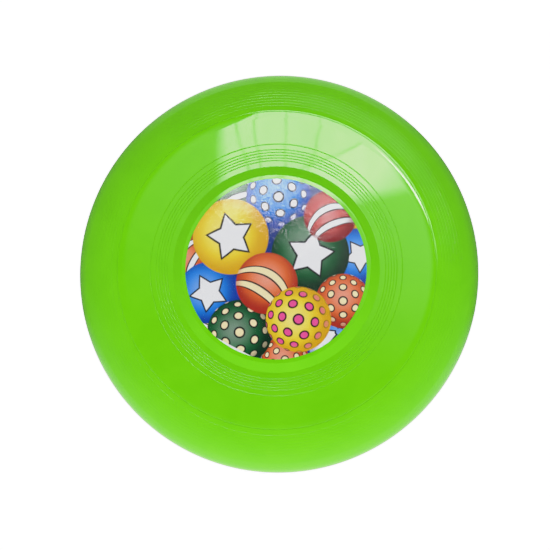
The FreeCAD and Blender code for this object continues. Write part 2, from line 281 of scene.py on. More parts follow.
add_stretch(run_arc(under_foot, FINE_ROUND, -quarter, -quarter - flank_slope), ROUND_STEP)
add_stretch(run_line(section[-1], at(under_edge, FINE_ROUND, flank_slope)), FLAT_STEP)
add_stretch(run_arc(under_edge, FINE_ROUND, quarter - flank_slope, quarter), ROUND_STEP)
ceiling = run_line(section[-1], (RECESS_RADIUS, boss_ceiling))
poppet_station = section[-1][0] - POPPET_RADIUS
add_grooved(ceiling, CEILING_STEP, [poppet_station], POPPET_GROOVE, POPPET_GROOVE)
recess_ceiling = boss_ceiling + RECESS_DEPTH
add_point(RECESS_RADIUS, recess_ceiling)
add_point(STUB_RADIUS, recess_ceiling)
add_point(STUB_RADIUS, recess_ceiling - STUB_HEIGHT)
add_point(0.0, recess_ceiling - STUB_HEIGHT)


def feed(tree, node, inputs):
    """Sets a node's inputs to values, or links them to sockets or to the first outputs of nodes."""
    for key, value in inputs.items():
        if isinstance(value, bpy.types.Node):
            value = value.outputs[0]
        if isinstance(value, bpy.types.NodeSocket):
            tree.links.new(value, node.inputs[key])
        else:
            node.inputs[key].default_value = value


def put(tree, kind, inputs=None, **settings):
    """Adds a node to a tree, with its settings and its inputs."""
    node = tree.nodes.new(kind)
    for name, value in settings.items():
        setattr(node, name, value)
    feed(tree, node, inputs or {})
    return node


def calc(tree, operation, *values, clamp=False):
    """The result of a Math node, in a shader tree or a geometry tree."""
    inputs = dict(enumerate(values))
    return put(tree, "ShaderNodeMath", inputs, operation=operation, use_clamp=clamp).outputs[0]


def add_up(tree, base, *shares):
    """A number, and more of it for each mask, by the weight that goes with the mask."""
    for mask, weight in shares:
        base = calc(tree, "MULTIPLY_ADD", mask, weight, base)
    return base


def vector(tree, operation, *values):
    """What a Vector Math node gives: a number for a length or a distance, or else a vector."""
    node = put(tree, "ShaderNodeVectorMath", dict(enumerate(values)), operation=operation)
    return node.outputs[1 if operation in ("LENGTH", "DISTANCE") else 0]


def split(tree, place):
    """The X, Y and Z of a place."""
    return put(tree, "ShaderNodeSeparateXYZ", {0: place}).outputs


def noise(tree, place, scale, detail=2.0, distortion=0.0):
    """The value of a Noise Texture."""
    inputs = {"Vector": place, "Scale": scale, "Detail": detail, "Distortion": distortion}
    return put(tree, "ShaderNodeTexNoise", inputs).outputs[0]


def fade(tree, value, begin, end, first=0.0, last=1.0, kind="SMOOTHSTEP"):
    """Goes from a first number to a last one while the value goes from begin to end."""
    inputs = {"Value": value, "From Min": begin, "From Max": end, "To Min": first, "To Max": last}
    return put(tree, "ShaderNodeMapRange", inputs, interpolation_type=kind).outputs[0]


def relief(tree, height, unit):
    """The normal of a surface with this relief; the unit is the length that a height of 1 is."""
    return put(tree, "ShaderNodeBump", {"Height": height, "Distance": unit}).outputs[0]


def below(tree, value, edge, softness):
    """A mask that is 1 where a value is below an edge, with a soft step of the given width."""
    slope = calc(tree, "MULTIPLY_ADD", value, -1.0 / softness, edge / softness + 0.5)
    return calc(tree, "MINIMUM", calc(tree, "MAXIMUM", slope, 0.0), 1.0)


def new_tree(name, kind, inputs, outputs):
    """An empty node tree with named inputs and outputs: the tree, its inputs and its end node."""
    tree = bpy.data.node_groups.new(name, kind)
    for label, socket_kind, value in inputs:
        socket = tree.interface.new_socket(
            label, in_out="INPUT", socket_type="NodeSocket" + socket_kind
        )
        if value is not None:
            socket.default_value = value
    for label, socket_kind in outputs:
        tree.interface.new_socket(label, in_out="OUTPUT", socket_type="NodeSocket" + socket_kind)
    return tree, tree.nodes.new("NodeGroupInput").outputs, tree.nodes.new("NodeGroupOutput")


def add_object(name, data):
    """A new object in the scene."""
    added = bpy.data.objects.new(name, data)
    bpy.context.scene.collection.objects.link(added)
    return added


def grow(name, points, steps):
    """A new piece: bare points joined in a row, worked up by geometry trees into a plain mesh."""
    mesh = bpy.data.meshes.new(name)
    mesh.from_pydata(points, [(number, number + 1) for number in range(len(points) - 1)], [])
    piece = add_object(name, mesh)
    for tree, values in steps:
        modifier = piece.modifiers.new(tree.name, "NODES")
        modifier.node_group = tree
        for item in tree.interface.items_tree:
            if item.item_type == "SOCKET" and item.in_out == "INPUT" and item.name in values:
                modifier[item.identifier] = values[item.name]
    finished = bpy.data.meshes.new_from_object(
        piece.evaluated_get(bpy.context.evaluated_depsgraph_get())
    )
    piece.modifiers.clear()
    piece.data = finished
    bpy.data.meshes.remove(mesh)
    finished.name = name
    return piece


def new_material(name):
    """A material, its tree, its Principled shader, and where its Object coordinates come out."""
    material = bpy.data.materials.new(name)
    material.use_nodes = True
    tree = material.node_tree
    shader = tree.nodes["Principled BSDF"]
    return material, tree, shader, tree.nodes.new("ShaderNodeTexCoord").outputs["Object"]


def mix_color(tree, share, first, second, blend="MIX"):
    """The colour that a Mix node gives."""
    inputs = {0: share, 6: first, 7: second}
    return put(tree, "ShaderNodeMix", inputs, data_type="RGBA", blend_type=blend).outputs[2]


def mix_shaders(tree, share, first, second):
    """The second shader as far as the share goes, and else the first."""
    return put(tree, "ShaderNodeMixShader", {0: share, 1: first, 2: second})


def use_group(tree, group, inputs):
    """What comes out of a shader group."""
    return put(tree, "ShaderNodeGroup", inputs, node_tree=group).outputs


# The last step of a turned piece: smooth faces, hard edges where the surface breaks, its material.
finishing, finish_in, finish_out = new_tree(
    "surface_finish",
    "GeometryNodeTree",
    [("Form", "Geometry", None), ("Sharp Angle", "Float", 0.8), ("Material", "Material", None)],
    [("Form", "Geometry")],
)
plain = put(finishing, "GeometryNodeRealizeInstances", {0: finish_in["Form"]})
smooth = put(
    finishing, "GeometryNodeSetShadeSmooth", {"Geometry": plain, "Shade Smooth": True}, domain="FACE"
)
bend = finishing.nodes.new("GeometryNodeInputMeshEdgeAngle")
broken = calc(finishing, "GREATER_THAN", bend, finish_in["Sharp Angle"])
sharpened = put(
    finishing,
    "GeometryNodeSetShadeSmooth",
    {"Geometry": smooth, "Selection": broken, "Shade Smooth": False},
    domain="EDGE",
)
clothed = {"Geometry": sharpened, "Material": finish_in["Material"]}
feed(finishing, finish_out, {"Form": put(finishing, "GeometryNodeSetMaterial", clothed)})


def finish_form(tree, form, inputs, end):
    """Gives a form its last step, and leads it out of its tree."""
    last = {"Form": form, "Sharp Angle": inputs["Sharp Angle"], "Material": inputs["Material"]}
    feed(tree, end, {"Form": put(tree, "GeometryNodeGroup", last, node_tree=finishing)})


def mark_core_side(tree, form, mask):
    """Writes on each point of a form whether it is on the core side of the mould."""
    return put(
        tree,
        "GeometryNodeStoreNamedAttribute",
        {"Geometry": form, "Name": "core_side", "Value": mask},
        data_type="FLOAT",
        domain="POINT",
    )


# Turning: the half section's points are laid out in a grid, one row for each point and one column
# for each step of the turn, then wrapped round the axis and closed where they meet.
turning, turn_in, turn_out = new_tree(
    "turned_form",
    "GeometryNodeTree",
    [
        ("Section", "Geometry", None),
        ("Steps", "Int", 300),
        ("Weld Distance", "Float", 1e-6),
        ("Sharp Angle", "Float", 0.8),
        ("Core Side From", "Int", 100000),
        ("Material", "Material", None),
    ],
    [("Form", "Geometry")],
)
rows = put(turning, "GeometryNodeAttributeDomainSize", {0: turn_in["Section"]})
columns = calc(turning, "ADD", turn_in["Steps"], 1.0)
grid = put(turning, "GeometryNodeMeshGrid", {"Vertices X": rows, "Vertices Y": columns})
index = turning.nodes.new("GeometryNodeInputIndex")
row = calc(turning, "FLOOR", calc(turning, "DIVIDE", calc(turning, "ADD", index, 0.5), columns))
column = calc(turning, "SUBTRACT", index, calc(turning, "MULTIPLY", row, columns))
column = calc(turning, "MODULO", column, turn_in["Steps"])
angle = calc(turning, "MULTIPLY", calc(turning, "DIVIDE", column, turn_in["Steps"]), math.tau)
sampled = put(
    turning,
    "GeometryNodeSampleIndex",
    {
        "Geometry": turn_in["Section"],
        "Value": turning.nodes.new("GeometryNodeInputPosition"),
        "Index": row,
    },
    data_type="FLOAT_VECTOR",
)
spot = split(turning, sampled)
wrapped = put(
    turning,
    "ShaderNodeCombineXYZ",
    {
        "X": calc(turning, "MULTIPLY", spot["X"], calc(turning, "COSINE", angle)),
        "Y": calc(turning, "MULTIPLY", spot["X"], calc(turning, "SINE", angle)),
        "Z": spot["Z"],
    },
)
turned = put(turning, "GeometryNodeSetPosition", {"Geometry": grid, "Position": wrapped})
past_foot = calc(turning, "GREATER_THAN", row, turn_in["Core Side From"])
welded = put(
    turning,
    "GeometryNodeMergeByDistance",
    {"Geometry": mark_core_side(turning, turned, past_foot), "Distance": turn_in["Weld Distance"]},
)
finish_form(turning, welded, turn_in, turn_out)

# The ends of the ejector pins leave shallow round marks in a ring on the underside of the plate.
ejecting, eject_in, eject_out = new_tree(
    "ejector_marks",
    "GeometryNodeTree",
    [
        ("Form", "Geometry", None),
        ("Pin Count", "Int", 6),
        ("Pin Circle", "Float", 0.068),
        ("Pin Radius", "Float", 0.0035),
        ("Pin Length", "Float", 0.002),
        ("Pin Height", "Float", 0.0223),
        ("Ceiling", "Float", 0.0232),
        ("Sharp Angle", "Float", 0.8),
        ("Material", "Material", None),
    ],
    [("Form", "Geometry")],
)
pin_circle = put(
    ejecting,
    "GeometryNodeMeshCircle",
    {"Vertices": eject_in["Pin Count"], "Radius": eject_in["Pin Circle"]},
)
pin = put(
    ejecting,
    "GeometryNodeMeshCylinder",
    {"Vertices": 40, "Radius": eject_in["Pin Radius"], "Depth": eject_in["Pin Length"]},
)
pins = put(ejecting, "GeometryNodeInstanceOnPoints", {"Points": pin_circle, "Instance": pin})
lift = put(ejecting, "ShaderNodeCombineXYZ", {"Z": eject_in["Pin Height"]})
raised = put(
    ejecting,
    "GeometryNodeTranslateInstances",
    {"Instances": pins, "Translation": lift, "Local Space": False},
)
loose_pins = put(ejecting, "GeometryNodeRealizeInstances", {0: raised})
cut = put(
    ejecting,
    "GeometryNodeMeshBoolean",
    {0: eject_in["Form"], 1: loose_pins},
    operation="DIFFERENCE",
    solver="MANIFOLD",
)
# The marks are core side too: the points near the ceiling's height, within the pins' reach.
SAME_LEVEL = 0.0006
PIN_REACH = 1.5
point_place = ejecting.nodes.new("GeometryNodeInputPosition")
level = calc(
    ejecting, "COMPARE", split(ejecting, point_place)["Z"], eject_in["Ceiling"], SAME_LEVEL
)
from_axis = vector(ejecting, "LENGTH", vector(ejecting, "MULTIPLY", point_place, (1.0, 1.0, 0.0)))
pin_reach = calc(
    ejecting, "MULTIPLY_ADD", eject_in["Pin Radius"], PIN_REACH, eject_in["Pin Circle"]
)
marked_here = calc(ejecting, "MULTIPLY", level, calc(ejecting, "LESS_THAN", from_axis, pin_reach))
known = put(ejecting, "GeometryNodeInputNamedAttribute", {"Name": "core_side"}, data_type="FLOAT")
core_points = calc(ejecting, "MAXIMUM", known, marked_here)
finish_form(ejecting, mark_core_side(ejecting, cut, core_points), eject_in, eject_out)

# Hairline scuffs from handling and stacking, in three directions, where the surface was rubbed.
SCUFF_TURNS = ((25.0, 0.013), (88.0, 0.037), (147.0, 0.071))
SCUFF_STRETCH = (45.0, 800.0, 45.0)
SCUFF_WIDTH = 0.006
SCUFF_SOFTNESS = 0.010
RUBBED_PATCHES = 0.13
UNRUBBED = 1.05
RUBBED_CONTRAST = 6.0
scuff_tree, scuff_in, scuff_out = new_tree(
    "hairline_scuffs",
    "ShaderNodeTree",
    [("Place", "Vector", None), ("Rubbed", "Float", 0.5)],
    [("Mask", "Float")],
)
untouched = calc(scuff_tree, "SUBTRACT", UNRUBBED, scuff_in["Rubbed"])
scuffs = 0.0
for turn, drift in SCUFF_TURNS:
    drawn_out = put(
        scuff_tree,
        "ShaderNodeMapping",
        {
            "Vector": scuff_in["Place"],
            "Location": (drift, drift, drift),
            "Rotation": (0.0, 0.0, math.radians(turn)),
            "Scale": SCUFF_STRETCH,
        },
    )
    streak = calc(scuff_tree, "SUBTRACT", noise(scuff_tree, drawn_out, 1.0, 1.0), 0.5)
    hairline = below(scuff_tree, calc(scuff_tree, "ABSOLUTE", streak), SCUFF_WIDTH, SCUFF_SOFTNESS)
    rubbed = calc(scuff_tree, "SUBTRACT", noise(scuff_tree, drawn_out, RUBBED_PATCHES), untouched)
    here = calc(scuff_tree, "MULTIPLY", rubbed, RUBBED_CONTRAST, clamp=True)
    scuffs = calc(scuff_tree, "MAXIMUM", calc(scuff_tree, "MULTIPLY", hairline, here), scuffs)
feed(scuff_tree, scuff_out, {"Mask": scuffs})


def scuffed(tree, place, amount):
    """The scuffs of a surface that was rubbed by this amount."""
    return use_group(tree, scuff_tree, {"Place": place, "Rubbed": amount})["Mask"]


# Lime-green polyethylene: glossy on the outside and spark-eroded satin on the core side, with faint
# clouds in the colour where the melt flowed, a slight sink-and-swell, and scuffs.
LIME_DEEP = (0.0985, 0.392, 0.0026, 1.0)
LIME_PALE = (0.1075, 0.413, 0.0036, 1.0)
LIME_IOR = 1.5
SHELL_RUBBED = 0.55
MELT_SCALE = 38.0
MELT_DETAIL = 4.0
MELT_SWIRL = 1.6
MELT_RANGE = (0.3, 0.7)
# The roughness of the polished mould, and what clouds, scuffs and spark erosion add to it.
POLISHED = 0.014
CLOUD_ROUGHNESS = 0.008
SCUFF_ROUGHNESS = 0.10
SPARK_ROUGHNESS = 0.30
# Each relief on the shell: how fine it is, and how high in microns.
MICRON = 0.000001
SWELL_SCALE, SWELL_HEIGHT = 45.0, 9.0
PEEL_SCALE, PEEL_HEIGHT = 520.0, 0.30
SPARK_SCALE, SPARK_HEIGHT = 3800.0, 12.0
SCUFF_HEIGHT = -0.25

lime_plastic, lime_tree, lime, lime_place = new_material("lime_polyethylene")
melt = noise(lime_tree, lime_place, MELT_SCALE, MELT_DETAIL, MELT_SWIRL)
clouds = fade(lime_tree, melt, *MELT_RANGE, kind="LINEAR")
core_side = put(lime_tree, "ShaderNodeAttribute", attribute_name="core_side").outputs["Fac"]
lime_scuffs = scuffed(lime_tree, lime_place, SHELL_RUBBED)
polish = add_up(
    lime_tree,
    POLISHED,
    (clouds, CLOUD_ROUGHNESS),
    (lime_scuffs, SCUFF_ROUGHNESS),
    (core_side, SPARK_ROUGHNESS),
)
swell = noise(lime_tree, lime_place, SWELL_SCALE, 1.0)
peel = noise(lime_tree, lime_place, PEEL_SCALE)
spark = calc(lime_tree, "MULTIPLY", noise(lime_tree, lime_place, SPARK_SCALE), core_side)
microns = add_up(
    lime_tree,
    0.0,
    (swell, SWELL_HEIGHT),
    (peel, PEEL_HEIGHT),
    (lime_scuffs, SCUFF_HEIGHT),
    (spark, SPARK_HEIGHT),
)
lime_look = {
    "Base Color": mix_color(lime_tree, clouds, LIME_DEEP, LIME_PALE),
    "Roughness": polish,
    "IOR": LIME_IOR,
    "Normal": relief(lime_tree, microns, MICRON),
}
feed(lime_tree, lime, lime_look)

PIN_DEPTH = 0.00015
PIN_LENGTH = 0.0020
disc_shell = grow(
    "disc_shell_moulding",
    [(radius, 0.0, height) for radius, height in section],
    [
        (
            turning,
            {"Steps": TURN_STEPS, "Core Side From": outside_points, "Material": lime_plastic},
        ),
        (
            ejecting,
            {
                "Pin Circle": (BOSS_FOOT + ROLL_START) / 2,
                "Pin Length": PIN_LENGTH,
                "Pin Height": plate_ceiling + PIN_DEPTH - PIN_LENGTH / 2,
                "Ceiling": plate_ceiling,
                "Material": lime_plastic,
            },
        ),
    ],
)
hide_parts("disc_shell")
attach(disc_shell, "root")

# ---------------------------------------------
# Label adhesive. A film of clear acrylic glue, 0.03 mm thick, that comes on the back of the label
# and is pressed on to the boss with it. Only its edge can be seen.

GLUE_THIN = (0.62, 0.63, 0.56, 1.0)
GLUE_THICK = (0.80, 0.80, 0.74, 1.0)
GLUE_SCALE = 900.0
GLUE_HEIGHT = 0.000002
GLUE_ROUGHNESS, GLUE_UNEVENNESS = 0.35, 0.25

glue, glue_tree, glue_shader, glue_place = new_material("acrylic_adhesive")
glue_cloud = noise(glue_tree, glue_place, GLUE_SCALE)
glue_look = {
    "Base Color": mix_color(glue_tree, glue_cloud, GLUE_THIN, GLUE_THICK),
    "Roughness": add_up(glue_tree, GLUE_ROUGHNESS, (glue_cloud, GLUE_UNEVENNESS)),
    "Normal": relief(glue_tree, glue_cloud, GLUE_HEIGHT),
}
feed(glue_tree, glue_shader, glue_look)
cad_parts["label_adhesive"].material_slots[0].material = glue

# ---------------------------------------------
# Label print. White polypropylene film, 0.1 mm thick, printed in four colours with a heap of toy
# balls and cut out with a round die. The printed field ends just inside the cut at one side, so a
# sliver of white film shows there.

LABEL_RADIUS = 0.0493
GLUE_THICKNESS = 0.00003
PRINT_THICKNESS = 0.00010
GLOSS_THICKNESS = 0.00005
AIR_GAP = 0.000004
DIE_ROUND = 0.000012
LABEL_STEPS = 240
LABEL_SHARP_ANGLE = 0.6
PRINT_EDGE = 0.0481
PRINT_EDGE_HEADING = 242.0


def die_cut(name, bottom, thickness, material):
    """A thin round layer of the label, with its cut edges barely broken."""
    top = bottom + thickness
    inner = LABEL_RADIUS - DIE_ROUND
    half_section = [
        (0.0, 0.0, top),
        (inner - DIE_ROUND, 0.0, top),
        (inner, 0.0, top),
        (LABEL_RADIUS, 0.0, top - DIE_ROUND),
        (LABEL_RADIUS, 0.0, bottom + DIE_ROUND),
        (inner, 0.0, bottom),
        (0.0, 0.0, bottom),
    ]
    sizes = {"Steps": LABEL_STEPS, "Sharp Angle": LABEL_SHARP_ANGLE, "Material": material}
    return grow(name, half_section, [(turning, sizes)])


# A printed ball in a circle of radius 1: its colour runs darker to the edge, with a light patch.
BALL_LIGHT = (-0.10, 0.14, 0.0)
SHADE_BEGIN, SHADE_END = 0.42, 1.14
PATCH_SIZE, PATCH_STRENGTH = 0.75, 0.22
RIM_BEGIN, RIM_END, RIM_STRENGTH = 0.72, 1.12, 0.72
ball_tree, ball_in, ball_out = new_tree(
    "printed_ball",
    "ShaderNodeTree",
    [
        ("Place", "Vector", None),
        ("Face", "Color", (0.8, 0.6, 0.1, 1.0)),
        ("Shade", "Color", (0.6, 0.3, 0.0, 1.0)),
        ("Softness", "Float", 0.03),
    ],
    [("Color", "Color"), ("Edge", "Float"), ("Mask", "Float")],
)
from_light = vector(ball_tree, "DISTANCE", ball_in["Place"], BALL_LIGHT)
darkening = fade(ball_tree, from_light, SHADE_BEGIN, SHADE_END)
shaded = mix_color(ball_tree, darkening, ball_in["Face"], ball_in["Shade"])
patch = fade(ball_tree, from_light, 0.0, PATCH_SIZE, PATCH_STRENGTH, 0.0)
lit = mix_color(ball_tree, patch, shaded, (1.0, 1.0, 1.0, 1.0))
from_edge = calc(ball_tree, "SUBTRACT", 1.0, vector(ball_tree, "LENGTH", ball_in["Place"]))
from_edge = calc(ball_tree, "DIVIDE", from_edge, ball_in["Softness"])
rim_shade = fade(ball_tree, from_light, RIM_BEGIN, RIM_END, 0.0, RIM_STRENGTH)
inside_ball = calc(ball_tree, "ADD", from_edge, 0.5, clamp=True)
feed(ball_tree, ball_out, {"Color": lit, "Edge": rim_shade, "Mask": inside_ball})

# Motifs are drawn in circles of radius 1 too, and lie on a ball: they shorten towards its edge.
BALL_BULGE = 0.45
MOTIF_LINE = 0.055
MOTIF_SOFTNESS = 0.03


def new_motif(name):
    """An empty tree for a motif on a ball: two masks, one for its fill and one for its dark line."""
    tree, inputs, end = new_tree(
        name,
        "ShaderNodeTree",
        [("Place", "Vector", None)],
        [("Fill", "Float"), ("Line", "Float")],
    )
    out = vector(tree, "LENGTH", inputs["Place"])
    stretch = calc(tree, "MULTIPLY_ADD", calc(tree, "MULTIPLY", out, out), BALL_BULGE, 1.0)
    round_place = put(
        tree, "ShaderNodeVectorMath", {0: inputs["Place"], "Scale": stretch}, operation="SCALE"
    )
    return tree, split(tree, round_place), end


def distance_out(tree, x, y):
    """How far (x, y) is from the middle."""
    squares = calc(tree, "ADD", calc(tree, "MULTIPLY", x, x), calc(tree, "MULTIPLY", y, y))
    return calc(tree, "SQRT", squares)


def finish_motif(tree, end, distance):
    """Fill where the distance is below nothing, and a line that straddles its edge."""
    line = below(tree, calc(tree, "ABSOLUTE", distance), MOTIF_LINE / 2, MOTIF_SOFTNESS)
    feed(tree, end, {"Fill": below(tree, distance, 0.0, MOTIF_SOFTNESS), "Line": line})
    return tree


def star_motif():
    """One five-pointed star across the middle of the ball."""
    half_point = math.radians(36.0)
    slant, reach, steepness = 2.1, 0.74, 0.43
    tree, spot, end = new_motif("ball_star")
    far = distance_out(tree, spot["X"], spot["Y"])
    angle = calc(tree, "ARCTAN2", spot["X"], spot["Y"])
    angle = calc(tree, "WRAP", angle, half_point, -half_point)
    along = calc(tree, "MULTIPLY", far, calc(tree, "COSINE", angle))
    aside = calc(tree, "MULTIPLY", far, calc(tree, "ABSOLUTE", calc(tree, "SINE", angle)))
    past = calc(tree, "SUBTRACT", calc(tree, "MULTIPLY_ADD", aside, slant, along), reach)
    return finish_motif(tree, end, calc(tree, "MULTIPLY", past, steepness))


def band_motif():
    """Two bowed bands round the ball."""
    bend, apart, half_width = 0.32, 0.34, 0.15
    tree, spot, end = new_motif("ball_bands")
    bow = calc(tree, "MULTIPLY", calc(tree, "MULTIPLY", spot["X"], spot["X"]), bend)
    level = calc(tree, "ABSOLUTE", calc(tree, "ADD", spot["Y"], bow))
    from_band = calc(tree, "ABSOLUTE", calc(tree, "SUBTRACT", level, apart))
    return finish_motif(tree, end, calc(tree, "SUBTRACT", from_band, half_width))


def spot_motif():
    """Round spots in staggered rows."""
    row_pitch, half_pitch, radius = 0.50, 0.29, 0.155
    tree, spot, end = new_motif("ball_spots")
    row = calc(tree, "ROUND", calc(tree, "DIVIDE", spot["Y"], row_pitch))
    local_y = calc(tree, "SUBTRACT", spot["Y"], calc(tree, "MULTIPLY", row, row_pitch))
    shift = calc(tree, "MULTIPLY", calc(tree, "PINGPONG", row, 1.0), half_pitch)
    shifted = calc(tree, "ADD", spot["X"], shift)
    far = distance_out(tree, calc(tree, "WRAP", shifted, half_pitch, -half_pitch), local_y)
    return finish_motif(tree, end, calc(tree, "SUBTRACT", far, radius))


def panel_motif():
    """Alternate panels that meet at a button, as on a beach ball."""
    button_x, button_y, button = -0.25, 0.30, 0.15
    panel = math.tau / 6.0
    tree, spot, end = new_motif("ball_panels")
    off_x = calc(tree, "SUBTRACT", spot["X"], button_x)
    off_y = calc(tree, "SUBTRACT", spot["Y"], button_y)
    far = distance_out(tree, off_x, off_y)
    angle = calc(tree, "ADD", calc(tree, "ARCTAN2", off_y, off_x), math.tau)
    aside = calc(tree, "SUBTRACT", calc(tree, "PINGPONG", angle, panel), panel / 2)
    distance = calc(tree, "MULTIPLY", aside, far)
    outside_button = calc(tree, "SUBTRACT", button, far)
    return finish_motif(tree, end, calc(tree, "MAXIMUM", distance, outside_button))


MOTIFS = {
    "star": star_motif(),
    "bands": band_motif(),
    "spots": spot_motif(),
    "panels": panel_motif(),
}
YELLOW = ((0.88, 0.70, 0.035, 1.0), (0.70, 0.40, 0.008, 1.0))
GREEN = ((0.010, 0.155, 0.045, 1.0), (0.002, 0.030, 0.012, 1.0))
ORANGE = ((0.80, 0.175, 0.035, 1.0), (0.44, 0.026, 0.014, 1.0))
RED = ((0.60, 0.036, 0.032, 1.0), (0.26, 0.008, 0.014, 1.0))
BLUE = ((0.008, 0.27, 0.84, 1.0), (0.004, 0.050, 0.40, 1.0))
WHITE_INK = (0.86, 0.87, 0.90, 1.0)
PALE_INK = (0.95, 0.80, 0.50, 1.0)
PINK_INK = (0.88, 0.10, 0.35, 1.0)
BLACK_INK = (0.006, 0.008, 0.012, 1.0)
NAVY_GROUND = (0.006, 0.035, 0.24, 1.0)
BALL_SOFTNESS = 0.010

# Each ball, from the back of the heap to the front, in label radii: x, y, radius, turn, colour, motif.
BALLS = [
    (-0.46, 0.88, 0.26, 20, GREEN, "bands", WHITE_INK),
    (0.03, 0.80, 0.36, -24, BLUE, "spots", WHITE_INK),
    (0.88, 0.62, 0.18, 10, YELLOW, "bands", PINK_INK),
    (0.93, 0.14, 0.30, 35, BLUE, "star", WHITE_INK),
    (-0.98, 0.14, 0.26, 60, ORANGE, "bands", WHITE_INK),
    (0.70, -0.82, 0.34, -40, BLUE, "panels", WHITE_INK),
    (0.10, -1.00, 0.26, 15, ORANGE, "spots", PALE_INK),
    (-0.88, -0.64, 0.26, -15, YELLOW, "star", WHITE_INK),
    (-0.74, -0.26, 0.34, 28, BLUE, "star", WHITE_INK),
    (0.38, 0.16, 0.43, -12, GREEN, "star", WHITE_INK),
    (0.60, 0.58, 0.29, 22, RED, "bands", WHITE_INK),
    (-0.40, -0.70, 0.36, 34, GREEN, "spots", PALE_INK),
    (-0.50, 0.36, 0.42, 14, YELLOW, "star", WHITE_INK),
    (0.74, -0.36, 0.30, -30, ORANGE, "spots", PALE_INK),
    (-0.10, -0.16, 0.34, -34, ORANGE, "bands", PALE_INK),
    (0.25, -0.56, 0.36, 50, YELLOW, "spots", PINK_INK),
]

label_print, print_tree, print_shader, print_place = new_material("printed_film")
art_place = put(
    print_tree,
    "ShaderNodeMapping",
    {"Vector": print_place, "Scale": (1.0 / LABEL_RADIUS, 1.0 / LABEL_RADIUS, 0.0)},
)
page = NAVY_GROUND
for x, y, radius, turn, (face, shade), motif, ink in BALLS:
    local = put(
        print_tree,
        "ShaderNodeMapping",
        {
            "Vector": art_place,
            "Location": (x, y, 0.0),
            "Rotation": (0.0, 0.0, math.radians(turn)),
            "Scale": (radius, radius, 1.0),
        },
        vector_type="TEXTURE",
    )
    inks = {"Place": local, "Face": face, "Shade": shade, "Softness": BALL_SOFTNESS / radius}
    ball = use_group(print_tree, ball_tree, inks)
    drawn = use_group(print_tree, MOTIFS[motif], {"Place": local})
    tinted = mix_color(print_tree, drawn["Fill"], ball["Color"], ink)
    lined = mix_color(print_tree, drawn["Line"], tinted, BLACK_INK)
    rounded = mix_color(print_tree, ball["Edge"], lined, shade)
    page = mix_color(print_tree, ball["Mask"], page, rounded)

# The printed field stops at a straight edge just inside the cut at one side. Ink and film have a
# fine grain, and little shine of their own under the gloss film.
PRINT_EDGE_SOFTNESS = 0.0003
INK_GRAIN = 2600.0
FILM_DULL = (0.84, 0.84, 0.83, 1.0)
FILM_BRIGHT = (0.90, 0.90, 0.89, 1.0)
INK_HEIGHT = 0.0000004
INK_SPECULAR = 0.05
INK_ROUGHNESS, INK_UNEVENNESS = 0.5, 0.2
INK_DARKEST, INK_SPREAD = 0.85, 0.30
heading = math.radians(PRINT_EDGE_HEADING)
print_spot = split(print_tree, print_place)
towards_edge = add_up(
    print_tree, 0.0, (print_spot["X"], math.cos(heading)), (print_spot["Y"], math.sin(heading))
)
inked = below(print_tree, towards_edge, PRINT_EDGE, PRINT_EDGE_SOFTNESS)
grain = noise(print_tree, print_place, INK_GRAIN)
dot_gain = add_up(print_tree, INK_DARKEST, (grain, INK_SPREAD))
grained = mix_color(print_tree, 1.0, page, dot_gain, "MULTIPLY")
film_white = mix_color(print_tree, grain, FILM_DULL, FILM_BRIGHT)
print_look = {
    "Base Color": mix_color(print_tree, inked, film_white, grained),
    "Roughness": add_up(print_tree, INK_ROUGHNESS, (grain, INK_UNEVENNESS)),
    "Specular IOR Level": INK_SPECULAR,
    "Normal": relief(print_tree, grain, INK_HEIGHT),
}
feed(print_tree, print_shader, print_look)

print_bottom = DISC_HEIGHT + GLUE_THICKNESS
label_film = die_cut("label_print", print_bottom, PRINT_THICKNESS - AIR_GAP, label_print)
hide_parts("label_print_film")
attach(label_film, "root")

# ---------------------------------------------
# Gloss film. Clear polypropylene, 0.05 mm thick, laminated over the print and cut with it. It has
# taken up the ripple of the rollers and crazed finely where it was stretched over the boss.

FILM_TINT = (0.99, 0.99, 1.0, 1.0)
FILM_IOR = 1.49
FILM_RUBBED = 0.60
FILM_POLISH = 0.006
FILM_SCUFF_ROUGHNESS = 0.08
# Ripples and creases: how fine they are, and how high in microns. Creases are highest at one place.
RIPPLE_SCALE, RIPPLE_HEIGHT = 210.0, 16.0
CREASE_SCALE, CREASE_DETAIL, CREASE_SWIRL = 300.0, 4.5, 1.4
CREASED_MOST = (0.0150, 0.0290, 0.0276)
CREASED_FROM, CREASED_TO = 0.004, 0.030
CREASE_HIGHEST, CREASE_LOWEST = 150.0, 14.0
FILM_SCUFF_HEIGHT = -0.2

gloss, gloss_tree, gloss_shader, gloss_place = new_material("clear_gloss_film")
film_scuffs = scuffed(gloss_tree, gloss_place, FILM_RUBBED)
ripple = noise(gloss_tree, gloss_place, RIPPLE_SCALE, 1.0)
fold = noise(gloss_tree, gloss_place, CREASE_SCALE, CREASE_DETAIL, CREASE_SWIRL)
creases = calc(gloss_tree, "ABSOLUTE", calc(gloss_tree, "SUBTRACT", fold, 0.5))
from_worst = vector(gloss_tree, "DISTANCE", gloss_place, CREASED_MOST)
stretched = fade(gloss_tree, from_worst, CREASED_FROM, CREASED_TO, CREASE_HIGHEST, CREASE_LOWEST)
creased = calc(gloss_tree, "MULTIPLY", creases, stretched)
film_microns = add_up(
    gloss_tree, creased, (ripple, RIPPLE_HEIGHT), (film_scuffs, FILM_SCUFF_HEIGHT)
)
film_look = {
    "Base Color": FILM_TINT,
    "Transmission Weight": 1.0,
    "IOR": FILM_IOR,
    "Roughness": add_up(gloss_tree, FILM_POLISH, (film_scuffs, FILM_SCUFF_ROUGHNESS)),
    "Normal": relief(gloss_tree, film_microns, MICRON),
}
feed(gloss_tree, gloss_shader, film_look)
